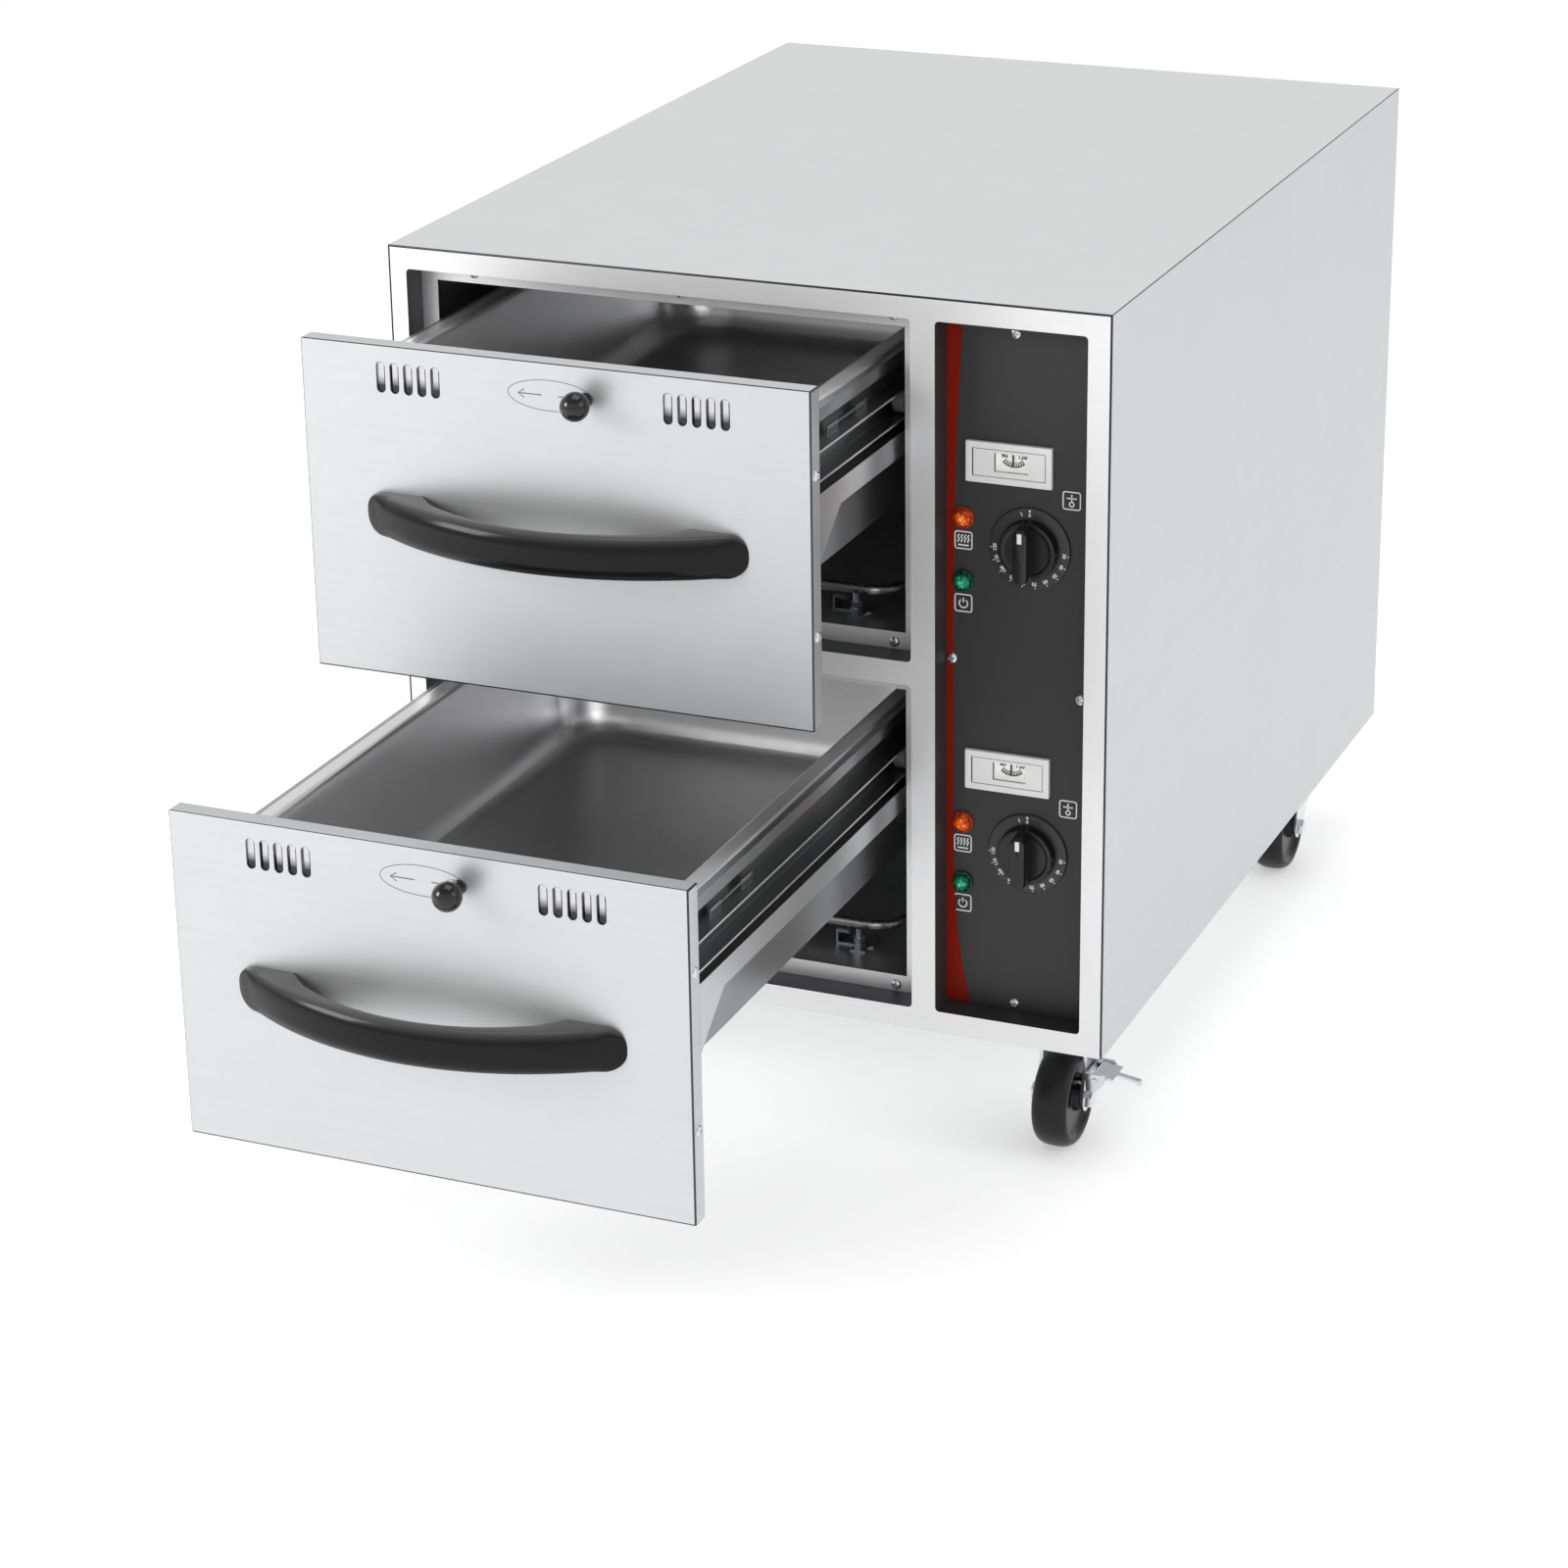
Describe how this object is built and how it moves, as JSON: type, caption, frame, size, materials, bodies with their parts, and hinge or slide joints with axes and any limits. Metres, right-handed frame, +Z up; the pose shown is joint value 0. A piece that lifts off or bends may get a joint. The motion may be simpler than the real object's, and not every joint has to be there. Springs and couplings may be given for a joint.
{
  "type": "warming drawer cabinet",
  "caption": "Free-standing steel cabinet on swivel casters with stacked warming drawers and a recessed control panel.",
  "frame": {"origin": "floor level under the casters, centre of the whole footprint with the drawers as they stand", "axes": "+X to the right seen from the front, +Y from the front to the back, +Z up"},
  "size_m": [0.5618, 1.164, 0.642],
  "materials": {
    "brushed_stainless": "fine brushed",
    "satin_stainless": "satin",
    "pressed_stainless": "smooth pressed",
    "zinc_plate": "bright zinc plate",
    "screw_steel": "bright",
    "element_sheath": "matt, heat-toned",
    "mineral_wool": "matt",
    "charcoal_paint": "semi-matt",
    "red_paint": "semi-matt",
    "white_plastic": "semi-gloss",
    "window_glass": "clear",
    "black_plastic": "satin black",
    "orange_lens": "gloss",
    "green_lens": "gloss",
    "nylon": "matt",
    "caster_zinc": "bright zinc",
    "wheel_rubber": "satin black"
  },
  "bodies": {
    "cabinet": {"outer_casing": "brushed_stainless", "front_frame": "brushed_stainless", "back_panel": "brushed_stainless", "base_pan": "brushed_stainless", "upper_liner": "satin_stainless", "lower_liner": "satin_stainless", "divider_wall": "satin_stainless", "insulation": "mineral_wool", "control_panel": "charcoal_paint", "panel_stripe": "red_paint", "thermometer_cases": "white_plastic", "thermometer_windows": "window_glass", "heat_lamps": "orange_lens", "power_lamps": "green_lens", "dial_rings": "black_plastic", "thermostats": "zinc_plate", "sensing_bulbs": "zinc_plate", "terminal_block": "nylon", "cable_gland": "black_plastic", "heating_elements": "element_sheath", "element_brackets": "zinc_plate", "cabinet_screws": "screw_steel", "cabinet_rails": "zinc_plate", "caster_plates": "caster_zinc"},
    "upper_drawer": {"upper_front_panel": "brushed_stainless", "upper_inner_panel": "satin_stainless", "upper_handle": "black_plastic", "upper_box": "satin_stainless", "upper_rails": "zinc_plate", "upper_screws": "screw_steel"},
    "upper_shutter": {"upper_shutter": "satin_stainless", "upper_shutter_knob": "black_plastic"},
    "upper_pan": {"upper_pan": "pressed_stainless"},
    "upper_front_rollers": {"upper_front_rollers": "nylon"},
    "upper_rear_rollers": {"upper_rear_rollers": "nylon"},
    "upper_knob": {"upper_knob": "black_plastic"},
    "upper_needle": {"upper_needle": "black_plastic"},
    "lower_drawer": {"lower_front_panel": "brushed_stainless", "lower_inner_panel": "satin_stainless", "lower_handle": "black_plastic", "lower_box": "satin_stainless", "lower_rails": "zinc_plate", "lower_screws": "screw_steel"},
    "lower_shutter": {"lower_shutter": "satin_stainless", "lower_shutter_knob": "black_plastic"},
    "lower_pan": {"lower_pan": "pressed_stainless"},
    "lower_front_rollers": {"lower_front_rollers": "nylon"},
    "lower_rear_rollers": {"lower_rear_rollers": "nylon"},
    "lower_knob": {"lower_knob": "black_plastic"},
    "lower_needle": {"lower_needle": "black_plastic"},
    "front_left_fork": {"front_left_fork": "caster_zinc"},
    "front_left_wheel": {"front_left_wheel": "wheel_rubber"},
    "front_right_fork": {"front_right_fork": "caster_zinc"},
    "front_right_wheel": {"front_right_wheel": "wheel_rubber"},
    "rear_left_fork": {"rear_left_fork": "caster_zinc"},
    "rear_left_wheel": {"rear_left_wheel": "wheel_rubber"},
    "rear_right_fork": {"rear_right_fork": "caster_zinc"},
    "rear_right_wheel": {"rear_right_wheel": "wheel_rubber"},
    "left_brake_lever": {"left_brake_lever": "caster_zinc"},
    "right_brake_lever": {"right_brake_lever": "caster_zinc"}
  },
  "joints": [
    {"name": "upper_drawer_slide", "type": "slide", "parent": "cabinet", "child": "upper_drawer", "axis": [0, -1, 0], "range_m": [-0.163, 0.317]},
    {"name": "upper_shutter_slide", "type": "slide", "parent": "upper_drawer", "child": "upper_shutter", "axis": [-1, 0, 0], "range_m": [0, 0.0051]},
    {"name": "upper_pan_lift", "type": "slide", "parent": "upper_drawer", "child": "upper_pan", "axis": [0, 0, 1], "range_m": [0, 0.02]},
    {"name": "upper_front_roller_spin", "type": "hinge", "parent": "cabinet", "child": "upper_front_rollers", "pos_m": [-0.065, -0.122, 0.5547], "axis": [1, 0, 0], "continuous": true},
    {"name": "upper_rear_roller_spin", "type": "hinge", "parent": "upper_drawer", "child": "upper_rear_rollers", "pos_m": [-0.065, 0.218, 0.5547], "axis": [1, 0, 0], "continuous": true},
    {"name": "upper_knob_turn", "type": "hinge", "parent": "cabinet", "child": "upper_knob", "pos_m": [0.2055, -0.141, 0.4645], "axis": [0, 1, 0], "range_deg": [0, 270]},
    {"name": "upper_needle_turn", "type": "hinge", "parent": "cabinet", "child": "upper_needle", "pos_m": [0.1921, -0.1395, 0.5323], "axis": [0, 1, 0], "range_deg": [-35, 35]},
    {"name": "lower_drawer_slide", "type": "slide", "parent": "cabinet", "child": "lower_drawer", "axis": [0, -1, 0], "range_m": [-0.37, 0.11]},
    {"name": "lower_shutter_slide", "type": "slide", "parent": "lower_drawer", "child": "lower_shutter", "axis": [-1, 0, 0], "range_m": [0, 0.0051]},
    {"name": "lower_pan_lift", "type": "slide", "parent": "lower_drawer", "child": "lower_pan", "axis": [0, 0, 1], "range_m": [0, 0.02]},
    {"name": "lower_front_roller_spin", "type": "hinge", "parent": "cabinet", "child": "lower_front_rollers", "pos_m": [-0.065, -0.122, 0.2902], "axis": [1, 0, 0], "continuous": true},
    {"name": "lower_rear_roller_spin", "type": "hinge", "parent": "lower_drawer", "child": "lower_rear_rollers", "pos_m": [-0.065, 0.011, 0.2902], "axis": [1, 0, 0], "continuous": true},
    {"name": "lower_knob_turn", "type": "hinge", "parent": "cabinet", "child": "lower_knob", "pos_m": [0.2055, -0.141, 0.2375], "axis": [0, 1, 0], "range_deg": [0, 270]},
    {"name": "lower_needle_turn", "type": "hinge", "parent": "cabinet", "child": "lower_needle", "pos_m": [0.1921, -0.1395, 0.3053], "axis": [0, 1, 0], "range_deg": [-35, 35]},
    {"name": "front_left_swivel", "type": "hinge", "parent": "cabinet", "child": "front_left_fork", "pos_m": [-0.224, -0.084, 0.08], "axis": [0, 0, 1], "continuous": true},
    {"name": "front_left_wheel_spin", "type": "hinge", "parent": "front_left_fork", "child": "front_left_wheel", "pos_m": [-0.224, -0.112, 0.0375], "axis": [1, 0, 0], "continuous": true},
    {"name": "front_right_swivel", "type": "hinge", "parent": "cabinet", "child": "front_right_fork", "pos_m": [0.224, -0.084, 0.08], "axis": [0, 0, 1], "continuous": true},
    {"name": "front_right_wheel_spin", "type": "hinge", "parent": "front_right_fork", "child": "front_right_wheel", "pos_m": [0.224, -0.112, 0.0375], "axis": [1, 0, 0], "continuous": true},
    {"name": "rear_left_swivel", "type": "hinge", "parent": "cabinet", "child": "rear_left_fork", "pos_m": [-0.224, 0.465, 0.08], "axis": [0, 0, 1], "continuous": true},
    {"name": "rear_left_wheel_spin", "type": "hinge", "parent": "rear_left_fork", "child": "rear_left_wheel", "pos_m": [-0.224, 0.437, 0.0375], "axis": [1, 0, 0], "continuous": true},
    {"name": "rear_right_swivel", "type": "hinge", "parent": "cabinet", "child": "rear_right_fork", "pos_m": [0.224, 0.465, 0.08], "axis": [0, 0, 1], "continuous": true},
    {"name": "rear_right_wheel_spin", "type": "hinge", "parent": "rear_right_fork", "child": "rear_right_wheel", "pos_m": [0.224, 0.437, 0.0375], "axis": [1, 0, 0], "continuous": true},
    {"name": "left_brake", "type": "hinge", "parent": "front_left_fork", "child": "left_brake_lever", "pos_m": [-0.249, -0.102, 0.055], "axis": [0, 1, 0], "range_deg": [0, 12]},
    {"name": "right_brake", "type": "hinge", "parent": "front_right_fork", "child": "right_brake_lever", "pos_m": [0.249, -0.102, 0.055], "axis": [0, -1, 0], "range_deg": [0, 12]}
  ],
  "couplings": [
    {"joint": "upper_front_roller_spin", "follows": "upper_drawer_slide", "rad_per_m": 111.11},
    {"joint": "upper_rear_roller_spin", "follows": "upper_drawer_slide", "rad_per_m": -111.11},
    {"joint": "lower_front_roller_spin", "follows": "lower_drawer_slide", "rad_per_m": 111.11},
    {"joint": "lower_rear_roller_spin", "follows": "lower_drawer_slide", "rad_per_m": -111.11}
  ]
}
